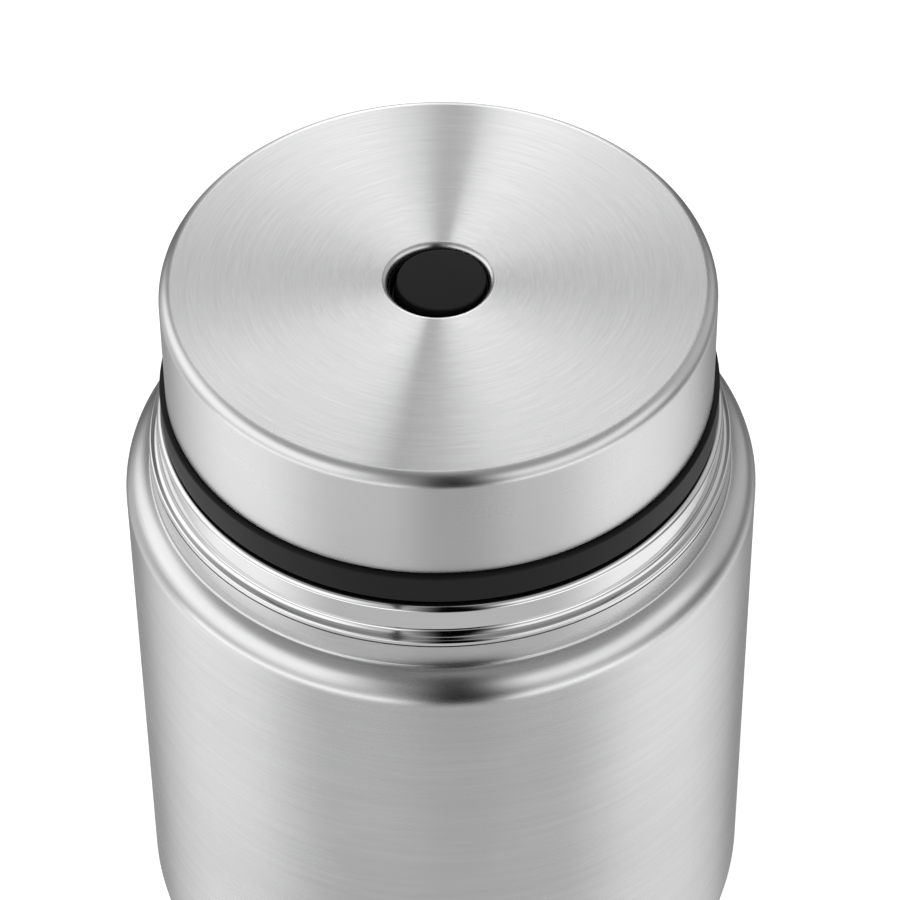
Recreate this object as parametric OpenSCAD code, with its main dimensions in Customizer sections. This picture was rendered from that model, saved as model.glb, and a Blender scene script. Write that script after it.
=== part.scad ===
// Vacuum food flask: double-wall steel vessel, screw lid with a steel cap, and a press-button valve.
// Origin at the centre of the base, +Z up, all sizes in millimetres.

/* [Flask] */
// Overall height, base to lid top, lid screwed down
total_h = 140; // [132:1:180]
// Diameter of the body
body_d = 100; // [100:0.5:106]
// Thickness of the steel sheet
sheet_t = 0.5; // [0.4:0.05:0.6]
// Radius of the rounding between wall and base
base_round = 13; // [10:0.5:14]
// Radius of the rounded outer edge of the shoulder
shoulder_round = 4.8; // [4:0.2:5]
// Slope of the shoulder, measured from the vertical
shoulder_slope = 75; // [70:1:75]

/* [Inner vessel] */
// Inner diameter of the mouth
mouth_d = 72.4; // [71.6:0.2:73]
// Thickness of the liner
liner_t = 0.4; // [0.3:0.05:0.5]
// Outer diameter of the liner's body
liner_d = 90; // [86:0.5:92]

/* [Neck] */
// Diameter of the polished ring under the lid
ring_d = 88.6; // [88:0.1:89.4]
// Diameter of the ledge at the foot of the ring
ledge_d = 91.6; // [90.6:0.1:91.6]
// Rise of the screw thread in one turn
thread_pitch = 4; // [3.5:0.1:4.2]
// Length of each thread, in turns
thread_turns = 1.25; // [1:0.05:1.4]

/* [Lid] */
// Diameter of the steel cap
cap_d = 85.34; // [85:0.02:86]
// Height of the steel cap
cap_h = 19.73; // [18:0.01:20.5]
// Radius of the rounded top edge of the cap
cap_edge = 2.1; // [1:0.1:3]
// Diameter of the black skirt below the cap
skirt_d = 87.14; // [86.6:0.02:88]
// Height of the visible skirt
skirt_h = 5.2; // [4:0.1:5.4]

/* [Button valve] */
// Diameter of the push button
button_d = 13.7; // [13.2:0.1:13.9]
// Diameter of the hole in the cap
hole_d = 15.6; // [15.4:0.1:16]
// Distance that the button travels when pressed
button_travel = 2.5; // [1.5:0.1:2.6]
// Number of free coils of the button's spring
spring_coils = 5; // [4:1:6]

/* [Hidden] */
$fn = 96;
ARC_STEP = 6;                           // degrees between points on a rounded corner
SNUG = 0.05;                            // gap between nested pieces that don't move
RUNNING = 0.15;                         // gap round a piece that slides or turns

// Radii of the vessel
body_r = body_d / 2;
mouth_r = mouth_d / 2;
liner_r = liner_d / 2;
ring_r = ring_d / 2;
ledge_r = ledge_d / 2;
tube_r = mouth_r + 2;                   // outside of the threaded neck tube
neck_crest_r = tube_r + 0.7;            // crest of the neck's thread
foot_r = body_r - base_round - sheet_t; // edge of the opening in the shell's underside

// Heights of the vessel
foot_h = 0.6;                           // underside of the shell above the standing bead
seam_z = total_h - 32.4;                // seam between shell and neck collar
neck_foot_z = seam_z - 4.75;            // where the neck line meets the shoulder line
shoulder_z = neck_foot_z - (body_r - ledge_r) / tan(shoulder_slope);
ring_top_z = total_h - 25.9;
ledge_z = seam_z + 0.8;
rim_z = total_h - 9;                    // top of the mouth
rim_bead_r = 1;
thread_z = rim_z - 12.5;                // lower end of the neck's thread
liner_base_z = 9.5;
liner_neck_z = total_h - 36;            // where the liner's mouth tube meets its shoulder
liner_slope = 55;
liner_shoulder_z = liner_neck_z - (liner_r - mouth_r - liner_t) / tan(liner_slope);

// Base
bead_in_r = foot_r - 3.6;
bead_out_r = foot_r - 1.6;
recess_z = 1.9;
dimple_r = 4.5;
dimple_h = 1.5;
vent_r = 1;
getter_r = 4;
getter_x = 16;

// Lid
cap_r = cap_d / 2;
cap_bottom_z = total_h - cap_h;
skirt_r = skirt_d / 2;
skirt_bottom_z = cap_bottom_z - 0.4 - skirt_h;
lid_wall_r = cap_r - sheet_t - SNUG;    // lid body inside the cap's wall
lid_bore_r = neck_crest_r + 1;          // inside of the lid's wall, at the thread root
lid_crest_r = neck_crest_r + 0.3;       // crest of the lid's thread
ceiling_top_z = total_h - sheet_t - SNUG;
ceiling_z = ceiling_top_z - 2.2;
rib_r = tube_r + 0.4;
plug_r = mouth_r - 0.8;
plug_z = rim_z - 9.2;                   // underside of the plug
plug_wall = 1.5;
flange_z = rim_z + 1.4;
flange_t = 1.6;

// Foam disc in the lid, with head-room below it for the rise of the screw
thread_rise = thread_pitch * thread_turns;
foam_top_z = ceiling_z - 0.4;
foam_bottom_z = plug_z + plug_wall + thread_rise + 0.8;

// Valve
button_r = button_d / 2;
hole_r = hole_d / 2;
hole_edge = 1;
button_z = total_h;                     // the button is flush with the cap
sleeve_top_z = total_h - 1.4;
cup_bore_r = button_r + 0.45;
cup_r = cup_bore_r + 1.3;
guide_z = ceiling_z - 2;                // underside of the button's guide ring
spring_solid_h = 1.75;                  // room that the closed spring keeps below the guide ring
cup_floor_z = guide_z - button_travel - spring_solid_h;
cup_floor_t = 1.5;
vent_tube_r = 5;
vent_bore_r = 3.6;
seat_z = plug_z - 0.8;
stem_r = 2;
seal_t = 1.6;
retainer_t = 1.6;
spring_wire_r = 0.3;
spring_r = 4.5;
pocket_z = button_z - 2;                // ceiling of the pocket that holds the spring

// ---- Outlines: lists of [radius, height, corner rounding] -------------------------------------

function spot(p) = [p[0], p[1]];
function heading(a, b) = (spot(b) - spot(a)) / norm(spot(b) - spot(a));
function left_of(v) = [-v[1], v[0]];
function turned(v, a) = [v[0] * cos(a) - v[1] * sin(a), v[0] * sin(a) + v[1] * cos(a)];
function rounding(p) = len(p) > 2 ? p[2] : 0;

// Points round the corner p between a and b, for a line shifted to its left by d
function corner(a, p, b, d) =
    let (u = heading(a, p), v = heading(p, b),
         turn = atan2(u[0] * v[1] - u[1] * v[0], u * v),
         tip = spot(p) + (left_of(u) + left_of(v)) * d / (1 + u * v),
         radius = rounding(p) > 0 ? max(0, rounding(p) - sign(turn) * d) : 0,
         steps = radius > 0 ? ceil(abs(turn) / ARC_STEP) : 0,
         start = tip - u * radius * tan(abs(turn) / 2),
         centre = start + sign(turn) * left_of(u) * radius)
    steps == 0 ? [tip] : [for (i = [0:steps]) centre + turned(start - centre, turn * i / steps)];

function open_line(p, d) = let (n = len(p)) [
    spot(p[0]) + left_of(heading(p[0], p[1])) * d,
    for (i = [1:1:n - 2]) each corner(p[i - 1], p[i], p[i + 1], d),
    spot(p[n - 1]) + left_of(heading(p[n - 2], p[n - 1])) * d];

function closed_line(p) = let (n = len(p))
    [for (i = [0:n - 1]) each corner(p[(i + n - 1) % n], p[i], p[(i + 1) % n], 0)];

function reversed(list) = [for (i = [len(list) - 1:-1:0]) list[i]];

// Sheet of thickness t, on the left of its outline, spun about Z
module spun_sheet(outline, t) {
    rotate_extrude() polygon(concat(open_line(outline, 0), reversed(open_line(outline, t))));
}

// Solid inside a closed outline, spun about Z
module spun_solid(outline) {
    rotate_extrude() polygon(closed_line(outline));
}

module tube(r_out, r_in, z0, z1) {
    translate([0, 0, z0]) difference() {
        cylinder(r = r_out, h = z1 - z0);
        translate([0, 0, -1]) cylinder(r = r_in, h = z1 - z0 + 2);
    }
}

// ---- Swept shapes -----------------------------------------------------------------------------

// Triangles that join closed rings of m points, n of them, with flat ends
function ring_faces(n, m) = concat(
    [[for (j = [m - 1:-1:0]) j]],
    [for (i = [0:n - 2], j = [0:m - 1]) [i * m + j, i * m + (j + 1) % m, (i + 1) * m + j]],
    [for (i = [0:n - 2], j = [0:m - 1]) [i * m + (j + 1) % m, (i + 1) * m + (j + 1) % m, (i + 1) * m + j]],
    [[for (j = [0:m - 1]) (n - 1) * m + j]]);

// Helical ridge from root_r to crest_r, on the outside of a tube or the inside of a bore
module thread_ridge(root_r, crest_r, z0) {
    step = 6;
    fade = 30;
    half_root = 0.95;
    half_crest = 0.45;
    sweep = thread_turns * 360;
    n = round(sweep / step) + 1;
    out = sign(crest_r - root_r);
    bite = 0.3;
    function crest(a) = root_r + (crest_r - root_r) * max(0.05, min(1, min(a, sweep - a) / fade));
    function section(a) = let (z = z0 + thread_pitch * a / 360) [
        [root_r - out * bite, z - half_root], [crest(a), z - half_crest],
        [crest(a), z + half_crest], [root_r - out * bite, z + half_root]];
    points = [for (i = [0:n - 1]) let (a = sweep * i / (n - 1)) each
        [for (s = section(a)) [s[0] * cos(a), s[0] * sin(a), s[1]]]];
    faces = ring_faces(n, 4);
    polyhedron(points, out > 0 ? faces : [for (f = faces) reversed(f)], convexity = 6);
}

// Compression spring with a closed turn at each end
module coil_spring(mean_r, wire_r, z0, z1, coils) {
    sides = 8;
    rings_per_turn = 20;
    n = (coils + 2) * rings_per_turn + 1;
    low = z0 + wire_r;
    high = z1 - wire_r;
    lead = (high - low - 4 * wire_r) / coils;
    function rise(t) = t < 1 ? low + 2 * wire_r * t
        : t > coils + 1 ? high - 2 * wire_r * (coils + 2 - t)
        : low + 2 * wire_r + lead * (t - 1);
    points = [for (i = [0:n - 1]) let (t = i / rings_per_turn, a = t * 360) each
        [for (j = [0:sides - 1]) let (b = 360 * j / sides, r = mean_r + wire_r * cos(b))
            [r * cos(a), r * sin(a), rise(t) + wire_r * sin(b)]]];
    polyhedron(points, ring_faces(n, sides), convexity = 12);
}

// ---- Vessel -----------------------------------------------------------------------------------

module outer_shell() {
    color("silver") spun_sheet([
        [foot_r, foot_h],
        [body_r, foot_h, base_round],
        [body_r, shoulder_z, shoulder_round],
        [ledge_r, neck_foot_z, 0.5],
        [ledge_r, seam_z - 0.3]], sheet_t);
}

// Polished ring and ledge, lapped into the shell below, with the threaded neck tube above
module neck_collar() {
    lap_r = ledge_r - sheet_t - SNUG;
    color("gainsboro") {
        spun_solid([
            [lap_r, seam_z - 4],
            [lap_r, seam_z],
            [ledge_r, seam_z],
            [ledge_r, ledge_z, 0.45],
            [ring_r, ledge_z + 0.3, 1],
            [ring_r, ring_top_z, 0.9],
            [tube_r, ring_top_z, 1],
            [tube_r, rim_z - 2 * rim_bead_r],
            [tube_r - sheet_t, rim_z - 2 * rim_bead_r],
            [tube_r - sheet_t, ring_top_z - sheet_t, 0.5],
            [ring_r - sheet_t, ring_top_z - sheet_t, 0.4],
            [ring_r - sheet_t, ledge_z],
            [lap_r - sheet_t, seam_z],
            [lap_r - sheet_t, seam_z - 4]]);
        thread_ridge(tube_r, neck_crest_r, thread_z);
    }
}

module inner_liner() {
    color("lightgray") {
        spun_sheet([
            [0, liner_base_z],
            [liner_r, liner_base_z, 12],
            [liner_r, liner_shoulder_z, 6],
            [mouth_r + liner_t, liner_neck_z, 3],
            [mouth_r + liner_t, rim_z - rim_bead_r]], liner_t);
        rotate_extrude() translate([tube_r - rim_bead_r, rim_z - rim_bead_r]) circle(r = rim_bead_r);
    }
}

module radiation_foil() {
    foil_t = 0.12;
    color("peru") tube(liner_r + 0.1 + foil_t, liner_r + 0.1, liner_base_z + 13, liner_shoulder_z - 4);
}

// Pressed base with the standing bead and the dimple that holds the evacuation port
module base_plate() {
    color("silver") spun_sheet([
        [vent_r, recess_z + dimple_h],
        [dimple_r - 1.5, recess_z + dimple_h],
        [dimple_r, recess_z],
        [bead_in_r - 1, recess_z],
        [bead_in_r, 0],
        [bead_out_r, 0],
        [bead_out_r + 0.4, foot_h],
        [foot_r - SNUG, foot_h]], sheet_t);
}

module base_cover() {
    cover_t = 0.4;
    color("silver") translate([0, 0, recess_z - cover_t]) cylinder(r = bead_in_r - 1.6, h = cover_t);
}

module sealing_bead() {
    port_z = recess_z + dimple_h;
    dome_r = 2.4;
    color("darkgray") {
        translate([0, 0, port_z - 0.5]) cylinder(r = vent_r - SNUG, h = 1.4);
        intersection() {
            translate([0, 0, port_z + 1.4]) sphere(r = dome_r);
            translate([0, 0, port_z - 1]) cylinder(r = dome_r, h = 1);
        }
    }
}

module getter_holder() {
    color("lightgray") translate([getter_x, 0, 0]) spun_solid([
        [getter_r - 1, liner_base_z - 3.6],
        [getter_r + 0.5, liner_base_z - 3.6],
        [getter_r + 0.5, liner_base_z - 0.4],
        [getter_r + 2.5, liner_base_z - 0.4],
        [getter_r + 2.5, liner_base_z],
        [getter_r + 0.1, liner_base_z],
        [getter_r + 0.1, liner_base_z - 3.2],
        [getter_r - 1, liner_base_z - 3.2]]);
}

module getter() {
    color("dimgray") translate([getter_x, 0, liner_base_z - 3.1]) cylinder(r = getter_r, h = 2.8);
}

// ---- Lid --------------------------------------------------------------------------------------

module lid_cap() {
    color("silver") spun_sheet([
        [cap_r, cap_bottom_z],
        [cap_r, total_h, cap_edge],
        [hole_r, total_h, hole_edge],
        [hole_r, total_h - 1.5]], sheet_t);
}

// Black moulding: wall with the skirt and the thread, ceiling, and the rib that holds the plug
module lid_body() {
    skirt_top_z = skirt_bottom_z + skirt_h;
    color("#222222") {
        spun_solid([
            [lid_bore_r + 1, skirt_bottom_z, 0.3],
            [skirt_r, skirt_bottom_z, 0.5],
            [skirt_r, skirt_top_z, 0.3],
            [lid_wall_r - 0.4, skirt_top_z],
            [lid_wall_r - 0.4, cap_bottom_z + 2],
            [lid_wall_r, cap_bottom_z + 2.4],
            [lid_wall_r, ceiling_top_z, cap_edge],
            [hole_r + sheet_t + 0.4, ceiling_top_z, 0.6],
            [hole_r + sheet_t + 0.4, ceiling_z],
            [rib_r - 2, ceiling_z],
            [rib_r - 2, flange_z + flange_t],
            [rib_r, flange_z + flange_t],
            [rib_r, ceiling_z],
            [lid_bore_r, ceiling_z],
            [lid_bore_r, skirt_bottom_z + 1]]);
        thread_ridge(lid_bore_r, lid_crest_r, thread_z - thread_pitch / 2);
    }
}

// Food-side cup that closes the mouth, welded to the rib of the lid body
module lid_plug() {
    boss_r = vent_tube_r + 2.4;
    color("#2e2e2e") spun_solid([
        [vent_tube_r + SNUG, plug_z],
        [plug_r, plug_z, 2],
        [plug_r, flange_z],
        [rib_r, flange_z, 0.4],
        [rib_r, flange_z + flange_t],
        [plug_r - plug_wall, flange_z + flange_t],
        [plug_r - plug_wall, plug_z + plug_wall, 1],
        [boss_r, plug_z + plug_wall],
        [boss_r, plug_z + 4.2],
        [vent_tube_r + 1.2, plug_z + 4.2],
        [vent_tube_r + 1.2, plug_z + plug_wall + 1],
        [vent_tube_r + SNUG, plug_z + plug_wall + 1]]);
}

module insulation_disc() {
    color("white") tube(plug_r - plug_wall - 0.5, cup_r + 1.6, foam_bottom_z, foam_top_z);
}

module lid_gasket() {
    color("whitesmoke") spun_solid([
        [plug_r + RUNNING, rim_z - 2.4],
        [plug_r + 0.5, rim_z - 2.4],
        [plug_r + 0.5, rim_z + 0.2],
        [rib_r - 0.2, rim_z + 0.2, 0.3],
        [rib_r - 0.2, flange_z, 0.3],
        [plug_r + RUNNING, flange_z]]);
}

// ---- Button valve -----------------------------------------------------------------------------

// Cup for button and spring, with the vent tube that ends in the valve seat
module valve_housing() {
    air_holes = 4;
    color("#262626") difference() {
        spun_solid([
            [stem_r + RUNNING, cup_floor_z - cup_floor_t],
            [vent_bore_r, cup_floor_z - cup_floor_t],
            [vent_bore_r, seat_z],
            [vent_tube_r, seat_z],
            [vent_tube_r, cup_floor_z - cup_floor_t],
            [cup_r, cup_floor_z - cup_floor_t],
            [cup_r, ceiling_z - 1.5],
            [cup_r + 1, ceiling_z - 1.5],
            [cup_r + 1, ceiling_z],
            [hole_r - 0.2, ceiling_z],
            [hole_r - 0.2, sleeve_top_z, 0.2],
            [button_r + 0.2, sleeve_top_z, 0.3],
            [button_r + 0.2, ceiling_z],
            [cup_bore_r, ceiling_z],
            [cup_bore_r, cup_floor_z],
            [stem_r + RUNNING, cup_floor_z]]);
        for (i = [0:air_holes - 1]) rotate(i * 360 / air_holes)
            translate([vent_bore_r - 0.75, 0, cup_floor_z - cup_floor_t - 1])
                cylinder(r = 0.5, h = cup_floor_t + 2, $fn = 24);
    }
}

module housing_o_ring() {
    ring_wire_r = 0.55;
    color("#404040") translate([0, 0, plug_z + plug_wall + 1 + ring_wire_r])
        rotate_extrude() translate([vent_tube_r + 0.6, 0]) circle(r = ring_wire_r, $fn = 24);
}

module push_button() {
    guide_r = cup_bore_r - RUNNING;
    color("#1c1c1c") spun_solid([
        [0, pocket_z + 0.2],
        [stem_r, pocket_z + 0.2],
        [stem_r, guide_z - 1.2],
        [stem_r + 1.2, guide_z - 1.2],
        [stem_r + 1.2, pocket_z],
        [spring_r + 0.8, pocket_z],
        [spring_r + 0.8, guide_z],
        [guide_r, guide_z],
        [guide_r, ceiling_z - 0.2],
        [button_r, ceiling_z - 0.2],
        [button_r, button_z, 0.5],
        [0, button_z]]);
}

module button_spring() {
    color("silver") coil_spring(spring_r, spring_wire_r, cup_floor_z, pocket_z, spring_coils);
}

module valve_stem() {
    bottom_z = seat_z - RUNNING - seal_t - retainer_t;
    color("#333333") {
        translate([0, 0, bottom_z]) cylinder(r = stem_r - 0.02, h = pocket_z + 0.2 - bottom_z);
        tube(stem_r + 1, stem_r - 0.5, seat_z - RUNNING, seat_z + 1);
    }
}

module valve_seal() {
    color("whitesmoke") tube(vent_tube_r + 0.6, stem_r, seat_z - RUNNING - seal_t, seat_z - RUNNING);
}

module seal_retainer() {
    top_z = seat_z - RUNNING - seal_t;
    color("#333333") tube(stem_r + 2.2, stem_r, top_z - retainer_t, top_z);
}

// ---- Assembly ---------------------------------------------------------------------------------

outer_shell();
neck_collar();
inner_liner();
radiation_foil();
base_plate();
base_cover();
sealing_bead();
getter_holder();
getter();
lid_cap();
lid_body();
lid_plug();
insulation_disc();
lid_gasket();
valve_housing();
housing_o_ring();
push_button();
button_spring();
valve_stem();
valve_seal();
seal_retainer();
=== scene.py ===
import math

import bmesh
import bpy
from mathutils import Matrix, Vector


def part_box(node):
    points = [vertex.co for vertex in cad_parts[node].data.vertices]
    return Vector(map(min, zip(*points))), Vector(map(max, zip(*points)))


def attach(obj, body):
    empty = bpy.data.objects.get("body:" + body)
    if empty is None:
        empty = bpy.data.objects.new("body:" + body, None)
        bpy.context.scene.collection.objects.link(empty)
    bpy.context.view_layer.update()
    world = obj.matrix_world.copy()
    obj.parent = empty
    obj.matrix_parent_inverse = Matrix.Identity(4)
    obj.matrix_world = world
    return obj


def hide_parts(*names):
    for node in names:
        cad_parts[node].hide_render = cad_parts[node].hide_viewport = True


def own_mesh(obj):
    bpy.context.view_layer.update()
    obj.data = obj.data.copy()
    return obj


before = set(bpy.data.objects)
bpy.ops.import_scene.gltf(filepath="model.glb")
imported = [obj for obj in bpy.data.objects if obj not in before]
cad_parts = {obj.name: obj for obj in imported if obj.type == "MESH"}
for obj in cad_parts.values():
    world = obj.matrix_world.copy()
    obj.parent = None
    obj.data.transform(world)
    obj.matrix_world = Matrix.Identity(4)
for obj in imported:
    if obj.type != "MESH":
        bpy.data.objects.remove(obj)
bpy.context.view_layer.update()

MM = 0.001
SEGMENTS = 240          # facets round a turned piece
ARC_STEP = 4            # degrees between points on a rounded corner

# ---- Sizes, in millimetres, from the CAD boxes ---------------------------------------------------


def top_of(node):
    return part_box(node)[1].z / MM


def foot_of(node):
    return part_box(node)[0].z / MM


def radius_of(node):
    low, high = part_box(node)
    return (high.y - low.y) / 2 / MM


TOTAL_H = top_of("lid_cap")
BODY_R = radius_of("outer_shell")
CAP_R = radius_of("lid_cap")
CAP_FOOT = foot_of("lid_cap")
SKIRT_R = radius_of("lid_body")
SKIRT_FOOT = foot_of("lid_body")
LEDGE_R = radius_of("neck_collar")
RIM_Z = top_of("inner_liner")
LINER_R = radius_of("inner_liner")
PLUG_Z = foot_of("lid_plug")
SHEET = 0.5             # thickness of the steel sheet
AXIS_R = 0.01           # radius of the pinhole that a turned piece keeps at the axis

# ---- Turned shapes -------------------------------------------------------------------------------


def corner_points(before, here, after, shift):
    """Points round a corner of an outline of (radius, height, rounding), moved to its left by shift."""
    a, p, b = (Vector(q[:2]) for q in (before, here, after))
    u, v = (p - a).normalized(), (b - p).normalized()
    turn = math.atan2(u.x * v.y - u.y * v.x, u.dot(v))
    left_u, left_v = Vector((-u.y, u.x)), Vector((-v.y, v.x))
    tip = p + (left_u + left_v) * shift / (1 + u.dot(v))
    rounding = here[2] if len(here) > 2 else 0
    radius = max(0.0, rounding - math.copysign(shift, turn)) if rounding else 0.0
    if not radius:
        return [tip]
    start = tip - u * radius * math.tan(abs(turn) / 2)
    centre = start + math.copysign(radius, turn) * left_u
    steps = math.ceil(math.degrees(abs(turn)) / ARC_STEP)
    spoke = start - centre
    return [centre + Matrix.Rotation(turn * i / steps, 2) @ spoke for i in range(steps + 1)]


def open_line(outline, shift=0.0):
    """Rounded outline of a sheet's face, from its first to its last point."""
    first, last = Vector(outline[0][:2]), Vector(outline[-1][:2])
    u = (Vector(outline[1][:2]) - first).normalized()
    v = (last - Vector(outline[-2][:2])).normalized()
    inner = [p for i in range(1, len(outline) - 1)
             for p in corner_points(outline[i - 1], outline[i], outline[i + 1], shift)]
    return [first + shift * Vector((-u.y, u.x)), *inner, last + shift * Vector((-v.y, v.x))]


def closed_line(outline):
    n = len(outline)
    return [p for i in range(n)
            for p in corner_points(outline[i - 1], outline[i], outline[(i + 1) % n], 0)]


def sheet_line(outline, thickness):
    return open_line(outline) + open_line(outline, thickness)[::-1]


def turned(name, line, *ridges, lean=0.0, lean_above=0.0):
    """Mesh of a closed line of (radius, height) in millimetres turned about the axis, and its ridges.

    The part higher than lean_above is shifted sideways by lean.
    """
    n, verts, faces = len(line), [], []
    for i in range(SEGMENTS):
        angle = 2 * math.pi * i / SEGMENTS
        for p in line:
            aside = lean if p.y > lean_above else 0
            verts.append(((p.x * math.cos(angle) + aside) * MM, p.x * math.sin(angle) * MM, p.y * MM))
    for i in range(SEGMENTS):
        a, b = i * n, (i + 1) % SEGMENTS * n
        faces += [(a + j, b + j, b + (j + 1) % n, a + (j + 1) % n) for j in range(n)]
    for ridge_verts, ridge_faces in ridges:
        faces += [tuple(k + len(verts) for k in face) for face in ridge_faces]
        verts += ridge_verts
    return finished(name, verts, faces)


def thread(root_r, crest_r, z0, pitch=4.0, turns=1.25):
    """Rounded helical ridge that rises `pitch` a turn and fades into the wall at both ends."""
    sweep, half, bite, fade = 360 * turns, 0.95, 0.3, 30
    count, across = int(sweep / 3) + 1, 9
    verts, faces = [], []
    for i in range(count):
        angle = sweep * i / (count - 1)
        height = (crest_r - root_r) * min(1, min(angle, sweep - angle) / fade)
        sink = math.copysign(bite, root_r - crest_r)
        for j in range(across):
            side = 2 * j / (across - 1) - 1
            profile = height * math.cos(math.pi / 2 * abs(side) ** 1.6)
            r = root_r + (profile if abs(side) < 1 else sink)
            z = z0 + pitch * angle / 360 + half * side
            turn = math.radians(angle)
            verts.append((r * MM * math.cos(turn), r * MM * math.sin(turn), z * MM))
    for i in range(count - 1):
        a, b = i * across, (i + 1) * across
        faces += [(a + j, b + j, b + (j + 1) % across, a + (j + 1) % across) for j in range(across)]
    faces += [tuple(range(across)), tuple((count - 1) * across + j for j in range(across))]
    return verts, faces


def finished(name, verts, faces):
    """Object of that mesh, with doubled points merged, faces outward and only true edges sharp."""
    bm = bmesh.new()
    made = [bm.verts.new(v) for v in verts]
    for face in faces:
        bm.faces.new([made[i] for i in face])
    bmesh.ops.remove_doubles(bm, verts=bm.verts, dist=1e-7)
    bmesh.ops.dissolve_degenerate(bm, edges=bm.edges, dist=1e-8)
    bmesh.ops.recalc_face_normals(bm, faces=bm.faces)
    mesh = bpy.data.meshes.new(name)
    bm.to_mesh(mesh)
    bm.free()
    mesh.shade_smooth()
    mesh.set_sharp_from_angle(angle=math.radians(28))
    piece = bpy.data.objects.new(name, mesh)
    bpy.context.scene.collection.objects.link(piece)
    return piece


def place(piece, body, node, material):
    """Lets a finished piece stand for its CAD node and ride on that node's body."""
    piece.data.materials.append(material)
    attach(piece, body)
    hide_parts(node)
    return piece


# ---- Materials -----------------------------------------------------------------------------------


class Nodes:
    """Short calls for building a material's node tree."""

    def __init__(self, name):
        self.material = bpy.data.materials.new(name)
        self.material.use_nodes = True
        self.tree = self.material.node_tree
        self.shader = self.tree.nodes["Principled BSDF"]

    def add(self, kind, **settings):
        node = self.tree.nodes.new(kind)
        for key, value in settings.items():
            setattr(node, key, value)
        return node

    def feed(self, socket, value):
        if isinstance(value, bpy.types.NodeSocket):
            self.tree.links.new(value, socket)
        else:
            socket.default_value = value

    def math(self, operation, a, b=0.0):
        node = self.add("ShaderNodeMath", operation=operation)
        self.feed(node.inputs[0], a)
        self.feed(node.inputs[1], b)
        return node.outputs[0]

    def vector(self, operation, a, b=(0, 0, 0)):
        node = self.add("ShaderNodeVectorMath", operation=operation)
        self.feed(node.inputs[0], a)
        self.feed(node.inputs[1], b)
        return node

    def combine(self, x, y, z):
        node = self.add("ShaderNodeCombineXYZ")
        for socket, value in zip(node.inputs, (x, y, z)):
            self.feed(socket, value)
        return node.outputs[0]

    def noise(self, vector, scale, detail, roughness=0.5):
        node = self.add("ShaderNodeTexNoise")
        self.feed(node.inputs["Vector"], vector)
        node.inputs["Scale"].default_value = scale
        node.inputs["Detail"].default_value = detail
        node.inputs["Roughness"].default_value = roughness
        return node.outputs["Fac"]

    def spread(self, value, low, high, from_low=0.3, from_high=0.7):
        """Maps a noise's middle range to low .. high."""
        node = self.add("ShaderNodeMapRange")
        self.feed(node.inputs["Value"], value)
        for key, number in (("From Min", from_low), ("From Max", from_high),
                            ("To Min", low), ("To Max", high)):
            node.inputs[key].default_value = number
        return node.outputs["Result"]

    def grey(self, value, tint):
        """Colour of that tint, scaled by a value."""
        node = self.add("ShaderNodeVectorMath", operation="SCALE")
        node.inputs[0].default_value = tint
        self.feed(node.inputs["Scale"], value)
        return node.outputs[0]

    def bump(self, height, strength, distance, normal=None):
        node = self.add("ShaderNodeBump")
        node.inputs["Strength"].default_value = strength
        node.inputs["Distance"].default_value = distance
        self.feed(node.inputs["Height"], height)
        if normal is not None:
            self.feed(node.inputs["Normal"], normal)
        return node.outputs["Normal"]

    def set(self, **sockets):
        for key, value in sockets.items():
            self.feed(self.shader.inputs[key.replace("_", " ")], value)

    def place(self):
        return self.add("ShaderNodeTexCoord").outputs["Object"]


def brushed_coordinates(n, arc, across):
    """Coordinates that run round the axis at `arc` and across the brush lines at `across` per metre."""
    split = n.add("ShaderNodeSeparateXYZ")
    n.feed(split.inputs[0], n.place())
    x, y, z = split.outputs
    flat = n.combine(x, y, 0.0)
    radius = n.vector("LENGTH", flat).outputs["Value"]
    unit = n.vector("SCALE", n.vector("NORMALIZE", flat).outputs["Vector"])
    unit.inputs["Scale"].default_value = arc
    around = n.add("ShaderNodeSeparateXYZ")
    n.feed(around.inputs[0], unit.outputs["Vector"])
    along = n.math("MULTIPLY", n.math("SUBTRACT", radius, z), across)
    return n.combine(around.outputs[0], around.outputs[1], along)


def brushed_steel(name, tint, roughness, anisotropy, grain=1.0, wear=0.0):
    """Steel brushed round the axis: fine lines, broader streaks and cloudy smears of wear."""
    n = Nodes(name)
    fine = n.noise(brushed_coordinates(n, 5.0, 5200.0), 1.0, 3.0, 0.6)
    broad = n.noise(brushed_coordinates(n, 1.6, 700.0), 1.0, 3.0, 0.6)
    cloud = n.noise(n.place(), 45.0, 3.0, 0.5)
    streaks = n.math("MULTIPLY", n.spread(fine, 1 - 0.05 * grain, 1 + 0.05 * grain),
                     n.spread(broad, 1 - 0.025 * grain - wear / 2, 1 + 0.025 * grain + wear / 2))
    smear = n.noise(n.place(), 28.0, 4.0, 0.6)
    shade = n.math("MULTIPLY", streaks, n.spread(smear, 1 - wear, 1 + wear))
    rough = n.math("ADD", n.spread(cloud, roughness - 0.02, roughness + 0.02),
                   n.spread(fine, -0.03 * grain, 0.03 * grain))
    tangent = n.add("ShaderNodeTangent", direction_type="RADIAL", axis="Z")
    n.set(Base_Color=n.grey(shade, tint), Metallic=1.0, Roughness=rough, Anisotropic=anisotropy,
          Anisotropic_Rotation=0.25, Tangent=tangent.outputs[0],
          Normal=n.bump(fine, 0.25 * grain, 0.00003, n.bump(broad, 0.2 * grain, 0.00006)))
    return n.material


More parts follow.
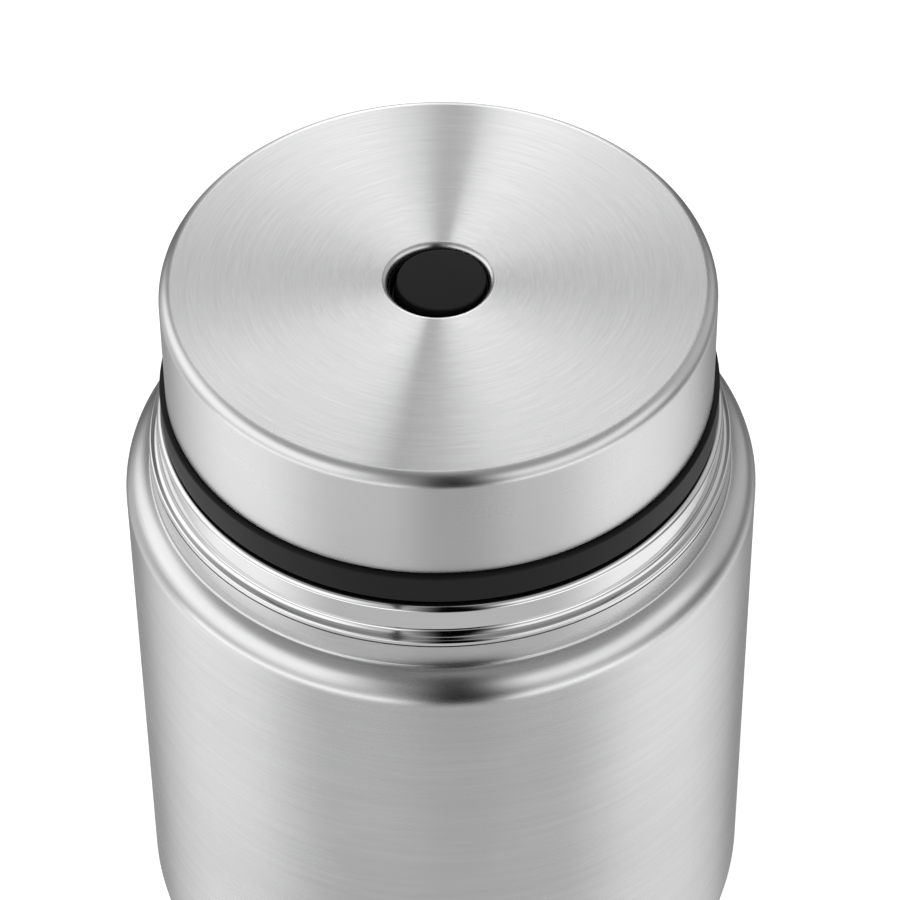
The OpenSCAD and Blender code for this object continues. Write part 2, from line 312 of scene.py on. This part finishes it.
def spun_steel(name, tint, roughness, anisotropy, grain=1.0):
    """Steel face brushed on a turntable: a sharper mirror along the lines than a plain brushed one."""
    n = Nodes(name)
    fine = n.noise(brushed_coordinates(n, 5.0, 6200.0), 1.0, 3.0, 0.6)
    broad = n.noise(brushed_coordinates(n, 2.5, 1500.0), 1.0, 3.0, 0.6)
    shade = n.math("MULTIPLY", n.spread(fine, 1 - 0.07 * grain, 1 + 0.07 * grain),
                   n.spread(broad, 1 - 0.03 * grain, 1 + 0.03 * grain))
    tangent = n.add("ShaderNodeTangent", direction_type="RADIAL", axis="Z")
    n.tree.nodes.remove(n.shader)
    n.shader = n.add("ShaderNodeBsdfAnisotropic", distribution="GGX")
    n.set(Color=n.grey(shade, tint), Roughness=roughness, Anisotropy=anisotropy,
          Tangent=tangent.outputs[0])
    n.feed(n.tree.nodes["Material Output"].inputs["Surface"], n.shader.outputs[0])
    return n.material


def polished_steel(name, tint, roughness):
    """Mirror-polished steel with the faint rings that turning leaves."""
    n = Nodes(name)
    rings = n.noise(brushed_coordinates(n, 1.2, 1500.0), 1.0, 2.0, 0.5)
    haze = n.noise(n.place(), 60.0, 3.0, 0.5)
    n.set(Base_Color=n.grey(n.spread(rings, 0.98, 1.02), tint), Metallic=1.0,
          Roughness=n.spread(haze, roughness * 0.7, roughness * 1.4),
          Normal=n.bump(rings, 0.03, 0.00005))
    return n.material


def moulded(name, tint, roughness, grain=0.06, specular=0.5):
    """Moulded plastic or rubber: fine eroded skin, uneven gloss."""
    n = Nodes(name)
    skin = n.noise(n.place(), 5500.0, 2.0, 0.5)
    patch = n.noise(n.place(), 90.0, 3.0, 0.5)
    n.set(Base_Color=n.grey(n.spread(patch, 0.9, 1.1), tint),
          Roughness=n.spread(patch, roughness - 0.04, roughness + 0.04),
          Normal=n.bump(skin, grain, 0.00005))
    n.shader.inputs["Specular IOR Level"].default_value = specular
    return n.material


SHELL_STEEL = brushed_steel("shell_steel", (0.60, 0.60, 0.605), 0.26, 0.5, 0.5, wear=0.035)
CAP_STEEL = brushed_steel("cap_steel", (0.63, 0.63, 0.635), 0.28, 0.75, 0.3)
CAP_TOP_STEEL = spun_steel("cap_top_steel", (0.63, 0.63, 0.635), 0.232, 0.8, 0.7)
RING_STEEL = polished_steel("ring_steel", (0.68, 0.68, 0.685), 0.08)
LINER_STEEL = brushed_steel("liner_steel", (0.58, 0.58, 0.585), 0.38, 0.5)
FOIL = brushed_steel("copper_foil", (0.80, 0.40, 0.26), 0.3, 0.3)
SOLDER = polished_steel("solder", (0.5, 0.5, 0.51), 0.3)
SPRING_STEEL = polished_steel("spring_steel", (0.6, 0.6, 0.61), 0.15)
GETTER = moulded("getter_alloy", (0.12, 0.12, 0.12), 0.8)
LID_PLASTIC = moulded("lid_plastic", (0.013, 0.013, 0.0135), 0.42, specular=0.1)
BUTTON_PLASTIC = moulded("button_plastic", (0.006, 0.006, 0.0065), 0.42, specular=0.12)
INNER_PLASTIC = moulded("inner_plastic", (0.022, 0.022, 0.023), 0.4)
SILICONE = moulded("silicone", (0.62, 0.62, 0.59), 0.5)
O_RING = moulded("o_ring_rubber", (0.02, 0.02, 0.02), 0.6)
FOAM = moulded("foam", (0.8, 0.8, 0.78), 0.9, 0.4)

# ---- Vessel --------------------------------------------------------------------------------------

SEAM_Z = TOTAL_H - 32.4                 # seam between shell and neck collar
NECK_FOOT_Z = SEAM_Z - 4.75
SHOULDER_SLOPE = 75                     # degrees from the vertical
SHOULDER_Z = NECK_FOOT_Z - (BODY_R - LEDGE_R) / math.tan(math.radians(SHOULDER_SLOPE))
RING_R = 44.3                           # polished ring below the lid
RING_TOP = TOTAL_H - 25.9
TUBE_R = 38.2                           # threaded neck tube
NECK_CREST_R = TUBE_R + 0.7
MOUTH_R = 36.2
FOOT_R = 36.5                           # opening in the shell's underside
FOOT_H = 0.6
BEAD_R = 34.9                           # standing bead of the base
RECESS_Z = 1.9
THREAD_Z = RIM_Z - 12.5
LINER_FLOOR_Z = 9.5
LINER_SHOULDER_Z = 98.12
LINER_NECK_Z = TOTAL_H - 36


def outer_shell():
    piece = turned("shell", sheet_line([
        (FOOT_R, FOOT_H),
        (BODY_R, FOOT_H, 13),
        (BODY_R, SHOULDER_Z, 4.8),
        (LEDGE_R, NECK_FOOT_Z, 0.5),
        (LEDGE_R, SEAM_Z - 0.3)], SHEET))
    place(piece, "vessel", "outer_shell", SHELL_STEEL)


def neck_collar():
    lap = LEDGE_R - SHEET - 0.05
    piece = turned("collar", closed_line([
        (lap, SEAM_Z - 4),
        (lap, SEAM_Z),
        (LEDGE_R, SEAM_Z),
        (LEDGE_R, SEAM_Z + 0.8, 0.45),
        (RING_R, SEAM_Z + 1.1, 1),
        (RING_R, RING_TOP, 0.9),
        (TUBE_R, RING_TOP, 1),
        (TUBE_R, RIM_Z - 2),
        (TUBE_R - SHEET, RIM_Z - 2),
        (TUBE_R - SHEET, RING_TOP - SHEET, 0.5),
        (RING_R - SHEET, RING_TOP - SHEET, 0.4),
        (RING_R - SHEET, SEAM_Z + 0.8),
        (lap - SHEET, SEAM_Z),
        (lap - SHEET, SEAM_Z - 4)]), thread(TUBE_R, NECK_CREST_R, THREAD_Z))
    place(piece, "vessel", "neck_collar", RING_STEEL)


def inner_liner():
    """Food vessel: rounded floor, sloping shoulder, straight mouth and the rolled rim."""
    thickness = 0.4
    tube = MOUTH_R + thickness
    wall = [
        (AXIS_R, LINER_FLOOR_Z),
        (LINER_R, LINER_FLOOR_Z, 12),
        (LINER_R, LINER_SHOULDER_Z, 6),
        (tube, LINER_NECK_Z, 3)]
    sheet = open_line(wall + [(tube, RIM_Z - 1)])
    inside = open_line(wall + [(tube, RIM_Z - 1.8)], thickness)
    rim = [Vector((TUBE_R - 1 + math.cos(a), RIM_Z - 1 + math.sin(a)))
           for a in (math.radians(-20 + 10 * i) for i in range(24))]
    place(turned("liner", sheet + rim + inside[::-1]), "vessel", "inner_liner", LINER_STEEL)


def base():
    """Pressed base with its standing bead and dimple, and the cover plate in its recess."""
    plate = turned("base", sheet_line([
        (1, RECESS_Z + 1.5),
        (3, RECESS_Z + 1.5, 0.5),
        (4.5, RECESS_Z, 0.6),
        (BEAD_R - 3, RECESS_Z, 0.7),
        (BEAD_R - 2, 0, 0.6),
        (BEAD_R, 0, 0.5),
        (BEAD_R + 0.4, FOOT_H, 0.2),
        (FOOT_R - 0.05, FOOT_H)], SHEET))
    place(plate, "vessel", "base_plate", SHELL_STEEL)
    cover = turned("cover", closed_line([
        (AXIS_R, RECESS_Z - 0.4),
        (BEAD_R - 3.6, RECESS_Z - 0.4, 0.15),
        (BEAD_R - 3.6, RECESS_Z),
        (AXIS_R, RECESS_Z)]))
    place(cover, "vessel", "base_cover", CAP_STEEL)


# ---- Lid -----------------------------------------------------------------------------------------

HOLE_R = 7.8                            # hole in the steel cap
CEILING_TOP = TOTAL_H - 0.55
CEILING_Z = CEILING_TOP - 2.2
LID_BORE_R = NECK_CREST_R + 1
RIB_R = TUBE_R + 0.4
PLUG_R = MOUTH_R - 0.8
FLANGE_Z = RIM_Z + 1.4
FLANGE_TOP = FLANGE_Z + 1.6
VENT_R = 5.0                            # outside of the vent tube
BUTTON_R = 6.85
BUTTON_Z = top_of("push_button")
BUTTON_LEAN = 0.5                       # play that lets the button sit off the hole's centre
GUIDE_TOP = CEILING_Z - 0.2             # guide ring round the button's foot
GUIDE_Z = CEILING_Z - 2
POCKET_Z = BUTTON_Z - 2                 # ceiling of the pocket that holds the spring
STEM_R = 2.0
SPRING_POCKET_R = 5.3


def lid_cap():
    piece = turned("cap", sheet_line([
        (CAP_R, CAP_FOOT),
        (CAP_R, TOTAL_H, 2.1),
        (HOLE_R, TOTAL_H, 1),
        (HOLE_R, TOTAL_H - 1.5)], SHEET))
    place(piece, "lid", "lid_cap", CAP_STEEL)
    piece.data.materials.append(CAP_TOP_STEEL)
    for face in piece.data.polygons:
        face.material_index = int(face.normal.z > 0.995)


def lid_body():
    wall = CAP_R - SHEET - 0.05
    skirt_top = CAP_FOOT - 0.4
    piece = turned("body", closed_line([
        (LID_BORE_R + 1, SKIRT_FOOT, 0.3),
        (SKIRT_R, SKIRT_FOOT, 0.5),
        (SKIRT_R, skirt_top, 0.3),
        (wall - 0.4, skirt_top),
        (wall - 0.4, CAP_FOOT + 2),
        (wall, CAP_FOOT + 2.4),
        (wall, CEILING_TOP, 2.1),
        (HOLE_R + 0.9, CEILING_TOP, 0.6),
        (HOLE_R + 0.9, CEILING_Z),
        (RIB_R - 2, CEILING_Z),
        (RIB_R - 2, FLANGE_TOP),
        (RIB_R, FLANGE_TOP),
        (RIB_R, CEILING_Z, 0.5),
        (LID_BORE_R, CEILING_Z, 0.5),
        (LID_BORE_R, SKIRT_FOOT + 1, 0.4)]), thread(LID_BORE_R, NECK_CREST_R + 0.3, THREAD_Z - 2))
    place(piece, "lid", "lid_body", LID_PLASTIC)


def lid_plug():
    piece = turned("plug", closed_line([
        (VENT_R + 0.05, PLUG_Z),
        (PLUG_R, PLUG_Z, 2),
        (PLUG_R, FLANGE_Z),
        (RIB_R, FLANGE_Z, 0.4),
        (RIB_R, FLANGE_TOP),
        (PLUG_R - 1.5, FLANGE_TOP),
        (PLUG_R - 1.5, PLUG_Z + 1.5, 1),
        (VENT_R + 2.4, PLUG_Z + 1.5, 0.4),
        (VENT_R + 2.4, PLUG_Z + 4.2, 0.3),
        (VENT_R + 1.2, PLUG_Z + 4.2),
        (VENT_R + 1.2, PLUG_Z + 2.5),
        (VENT_R + 0.05, PLUG_Z + 2.5)]))
    place(piece, "lid", "lid_plug", INNER_PLASTIC)


def lid_gasket():
    """Silicone ring under the plug's flange, with a sleeve down its wall."""
    top, foot = FLANGE_Z, RIM_Z - 2.4
    piece = turned("gasket", closed_line([
        (PLUG_R + 0.15, foot, 0.1),
        (PLUG_R + 0.5, foot, 0.15),
        (PLUG_R + 0.5, RIM_Z + 0.2, 0.3),
        (RIB_R - 0.2, RIM_Z + 0.2, 0.3),
        (RIB_R - 0.2, top, 0.3),
        (PLUG_R + 0.15, top)]))
    place(piece, "lid_seal", "lid_gasket", SILICONE)


def push_button():
    piece = turned("button", closed_line([
        (AXIS_R, POCKET_Z + 0.2),
        (STEM_R, POCKET_Z + 0.2),
        (STEM_R, GUIDE_Z - 1.2),
        (STEM_R + 1.2, GUIDE_Z - 1.2, 0.2),
        (STEM_R + 1.2, POCKET_Z, 0.3),
        (SPRING_POCKET_R, POCKET_Z, 0.3),
        (SPRING_POCKET_R, GUIDE_Z),
        (BUTTON_R + 0.3, GUIDE_Z, 0.15),
        (BUTTON_R + 0.3, GUIDE_TOP, 0.15),
        (BUTTON_R, GUIDE_TOP),
        (BUTTON_R, BUTTON_Z, 0.25),
        (AXIS_R, BUTTON_Z)]), lean=BUTTON_LEAN, lean_above=GUIDE_TOP + 0.1)
    place(piece, "valve", "push_button", BUTTON_PLASTIC)


def valve_housing():
    """Sleeve round the button, the cup below it and the vent tube."""
    bore, cup_r, cup_floor = BUTTON_R + BUTTON_LEAN + 0.1, BUTTON_R + 1.75, RIM_Z
    piece = turned("housing", closed_line([
        (STEM_R + 0.15, cup_floor - 1.5),
        (VENT_R - 1.4, cup_floor - 1.5, 0.4),
        (VENT_R - 1.4, PLUG_Z - 0.8),
        (VENT_R, PLUG_Z - 0.8, 0.2),
        (VENT_R, cup_floor - 1.5, 0.4),
        (cup_r, cup_floor - 1.5, 0.5),
        (cup_r, CEILING_Z - 1.5),
        (cup_r + 1, CEILING_Z - 1.5),
        (cup_r + 1, CEILING_Z),
        (HOLE_R - 0.2, CEILING_Z),
        (HOLE_R - 0.2, TOTAL_H - 1.4, 0.05),
        (bore, TOTAL_H - 1.4, 0.05),
        (bore, cup_floor, 0.4),
        (STEM_R + 0.15, cup_floor)]))
    place(piece, "lid", "valve_housing", LID_PLASTIC)


def button_spring():
    """The CAD's spring, copied with its own mesh and material and carried by the lid."""
    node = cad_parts["button_spring"]
    piece = bpy.data.objects.new("spring", node.data.copy())
    piece.matrix_world = node.matrix_world
    bpy.context.scene.collection.objects.link(piece)
    piece.data.materials.clear()
    place(piece, "lid", "button_spring", SPRING_STEEL)
    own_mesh(piece)


def plain_nodes():
    """Materials of the pieces that keep their CAD shape."""
    for node, material in {
            "radiation_foil": FOIL, "sealing_bead": SOLDER, "getter_holder": LINER_STEEL, "getter": GETTER,
            "insulation_disc": FOAM, "housing_o_ring": O_RING,
            "valve_stem": INNER_PLASTIC, "valve_seal": SILICONE, "seal_retainer": INNER_PLASTIC}.items():
        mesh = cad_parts[node].data
        mesh.materials.clear()
        mesh.materials.append(material)


for build in (outer_shell, neck_collar, inner_liner, base, lid_cap, lid_body, lid_plug, lid_gasket,
              push_button, valve_housing, button_spring, plain_nodes):
    build()

# ---- Studio --------------------------------------------------------------------------------------


def camera():
    """Camera in front of the flask, looking down on the lid."""
    distance = 0.6555
    elevation = math.radians(43.02)
    tilt, pan, roll = 0.0396, 0.0022, math.radians(-0.781)
    data = bpy.data.cameras.new("camera")
    data.lens = 172.2
    data.sensor_width = 36
    cam = bpy.data.objects.new("camera", data)
    bpy.context.scene.collection.objects.link(cam)
    at = Vector((0, -distance * math.cos(elevation), TOTAL_H * MM + distance * math.sin(elevation)))
    turn = (Matrix.Rotation(math.pi / 2 - elevation, 4, "X") @ Matrix.Rotation(-pan, 4, "Y")
            @ Matrix.Rotation(-tilt, 4, "X") @ Matrix.Rotation(roll, 4, "Z"))
    cam.matrix_world = Matrix.Translation(at) @ turn
    bpy.context.scene.camera = cam


def floor():
    """Pale table top. Metal doesn't mirror it: the world's lower half stands in for it there."""
    side = 6.0
    mesh = bpy.data.meshes.new("floor")
    corners = [(-side, -side, 0), (side, -side, 0), (side, side, 0), (-side, side, 0)]
    mesh.from_pydata(corners, [], [(0, 1, 2, 3)])
    plane = bpy.data.objects.new("floor", mesh)
    bpy.context.scene.collection.objects.link(plane)
    n = Nodes("floor")
    n.set(Base_Color=(0.93, 0.93, 0.93, 1), Roughness=0.9, Emission_Color=(1, 1, 1, 1),
          Emission_Strength=0.6)
    n.shader.inputs["Specular IOR Level"].default_value = 0.0
    mesh.materials.append(n.material)
    plane.visible_glossy = False


class Sky:
    """World of soft-edged light panels, each laid over what is already there.

    The camera itself sees plain white. Azimuth 0 is the camera's side (-Y) and 90 is +X.
    """

    def __init__(self, level):
        world = bpy.data.worlds.new("studio")
        world.use_nodes = True
        bpy.context.scene.world = world
        self.tree = world.node_tree
        look = self.tree.nodes.new("ShaderNodeTexCoord").outputs["Generated"]
        split = self.tree.nodes.new("ShaderNodeSeparateXYZ")
        self.tree.links.new(look, split.inputs[0])
        self.x, self.y, z = split.outputs
        self.elevation = self.math("ARCSINE", z, 0.0)
        self.azimuth = self.math("ARCTAN2", self.x, self.math("MULTIPLY", self.y, -1.0))
        self.level = level

    def math(self, operation, a, b, c=0.0):
        node = self.tree.nodes.new("ShaderNodeMath")
        node.operation = operation
        for socket, value in zip(node.inputs, (a, b, c)):
            if isinstance(value, bpy.types.NodeSocket):
                self.tree.links.new(value, socket)
            else:
                socket.default_value = value
        return node.outputs[0]

    def within(self, value, centre, half, soft):
        """1 within half of the centre, 0 outside, with a soft edge."""
        off = self.math("ABSOLUTE", self.math("SUBTRACT", value, centre), 0.0)
        return self.fade(off, half, soft)

    def fade(self, off, half, soft):
        node = self.tree.nodes.new("ShaderNodeMapRange")
        node.interpolation_type = "SMOOTHSTEP"
        self.tree.links.new(off, node.inputs["Value"])
        for key, number in (("From Min", half - soft / 2), ("From Max", half + soft / 2),
                            ("To Min", 1.0), ("To Max", 0.0)):
            node.inputs[key].default_value = number
        return node.outputs["Result"]

    def lay(self, mask, level):
        change = self.math("SUBTRACT", level, self.level)
        self.level = self.math("ADD", self.level, self.math("MULTIPLY", change, mask))

    def panel(self, azimuth, elevation, width, height, level, soft=10.0):
        """Panel of that half-width and half-height, all in degrees."""
        rad = math.radians
        turn = self.math("WRAP", self.math("SUBTRACT", self.azimuth, rad(azimuth)), math.pi, -math.pi)
        across = self.fade(self.math("ABSOLUTE", turn, 0.0), rad(width), rad(soft))
        upward = self.within(self.elevation, rad(elevation), rad(height), rad(soft))
        self.lay(self.math("MULTIPLY", across, upward), level)

    def ceiling_seam(self, x, half, soft, slant, level=0.01):
        """Dark seam overhead, between the softboxes, that runs from front to back at a slant."""
        aside = self.math("SUBTRACT", self.x, self.math("MULTIPLY", self.y, slant))
        across = self.within(aside, x, half, soft)
        above = self.fade(self.math("MULTIPLY", self.elevation, -1.0), -0.2, 0.2)
        self.lay(self.math("MULTIPLY", across, above), level)

    def finish(self):
        camera_ray = self.tree.nodes.new("ShaderNodeLightPath").outputs["Is Camera Ray"]
        self.lay(camera_ray, 1.0)
        self.tree.links.new(self.level, self.tree.nodes["Background"].inputs["Color"])


def lighting():
    """Softboxes at both sides over a pale table, a window between dark flags behind, the camera in front."""
    pale, dark, bright = 0.65, 0.15, 1.5
    sky = Sky(pale)
    sky.panel(0, -20, 90, 5, 2.5, 15)           # bright far edge of the table
    for side in (-90, 90):
        sky.panel(side, -40, 30, 10, bright, 40)    # softbox mirrored in the table
    sky.panel(-90, 35, 60, 30, bright, 25)      # left softbox
    sky.panel(50, 40, 50, 25, bright - 0.2, 15)     # right softbox, turned to the camera
    sky.panel(180, 75, 180, 25, 0.4, 20)        # ceiling
    sky.panel(115, -5, 45, 15, dark, 40)        # gap below the right softbox
    sky.panel(180, -55, 40, 35, 0.3, 10)        # shade of the flask on the table behind it
    sky.panel(150, 20, 50, 20, pale, 15)        # back wall
    for flag in (155, 210):
        sky.panel(flag, 10, 10, 40, dark, 20)   # dark flags beside the window
    sky.panel(180, 10, 10, 35, 2.5, 15)         # back window
    sky.panel(180, -15, 15, 20, 0.4, 10)        # wall below the window
    sky.panel(5, 30, 15, 60, 0.0, 20)           # camera and its stand
    sky.ceiling_seam(-0.12, 0.02, 0.03, 0.15)
    sky.panel(180, 50, 10, 10, bright, 5)       # lit panel behind the seam
    sky.finish()


camera()
floor()
lighting()
bpy.context.scene.view_settings.view_transform = "Standard"
